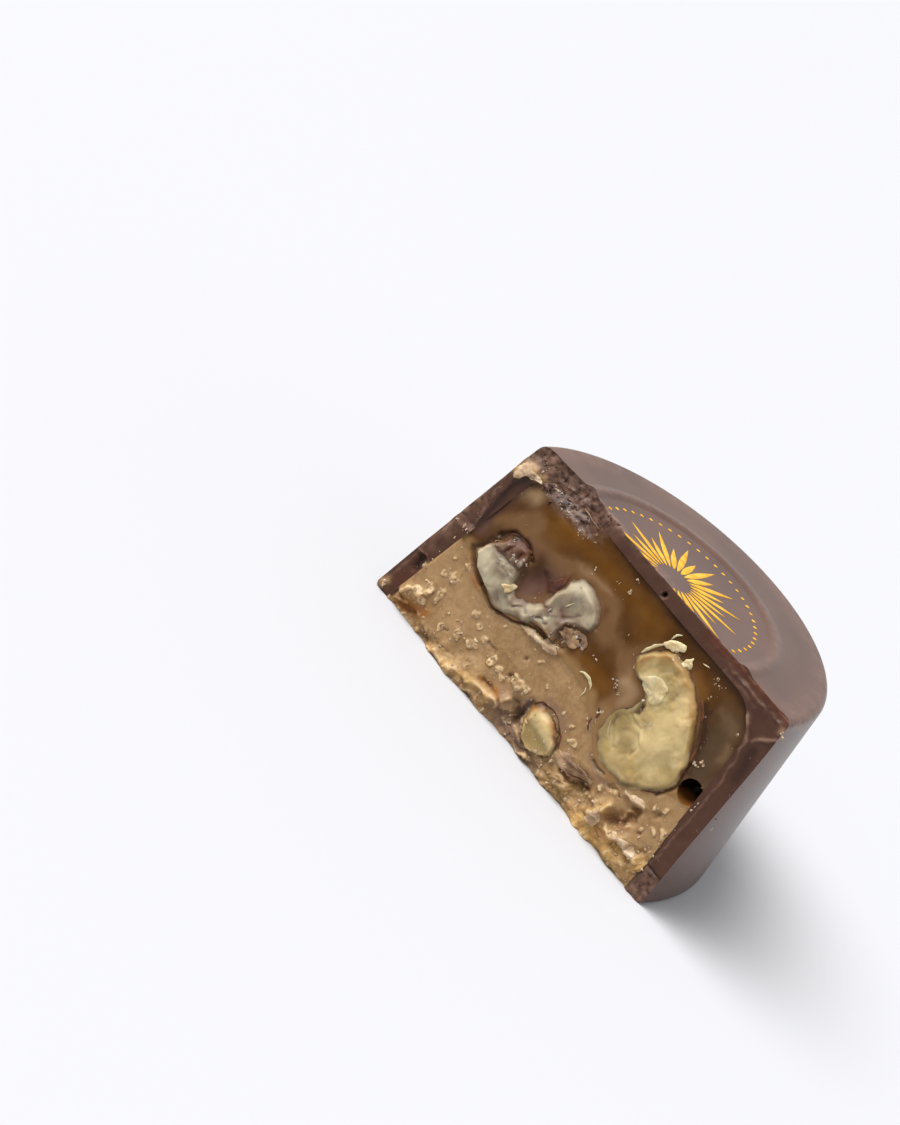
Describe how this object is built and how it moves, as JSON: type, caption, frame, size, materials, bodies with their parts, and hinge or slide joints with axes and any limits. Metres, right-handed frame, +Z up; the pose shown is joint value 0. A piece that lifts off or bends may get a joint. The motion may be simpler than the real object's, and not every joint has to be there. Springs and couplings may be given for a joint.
{
  "type": "pecan toffee chocolate half",
  "caption": "Half of an oval moulded dark chocolate, cut open across its middle to show pale and amber toffee with pecans; the top has a raised oval line.",
  "frame": {"origin": "centre of the resting footprint, on the plane of the base", "axes": "+Z up through the moulded top face, -Y out of the cut face, +X along the cut to the right as seen from the cut side"},
  "size_m": [0.0318, 0.03, 0.016],
  "materials": {
    "chocolate": "satin dark chocolate, softly glossy on its moulded faces and dull where it was cut",
    "pale_toffee": "opaque pale tan toffee, crumbly towards the base",
    "amber_toffee": "smooth translucent amber brown toffee",
    "grey_pecan": "rough grey cream nut flesh with a dark brown skin",
    "cream_pecan": "waxy yellow cream nut flesh with a reddish brown skin"
  },
  "bodies": {
    "root": {"chocolate_shell": "chocolate", "toffee_pale": "pale_toffee", "toffee_amber": "amber_toffee", "pecan_curved": "grey_pecan", "pecan_large": "cream_pecan", "pecan_small": "cream_pecan"}
  },
  "joints": []
}
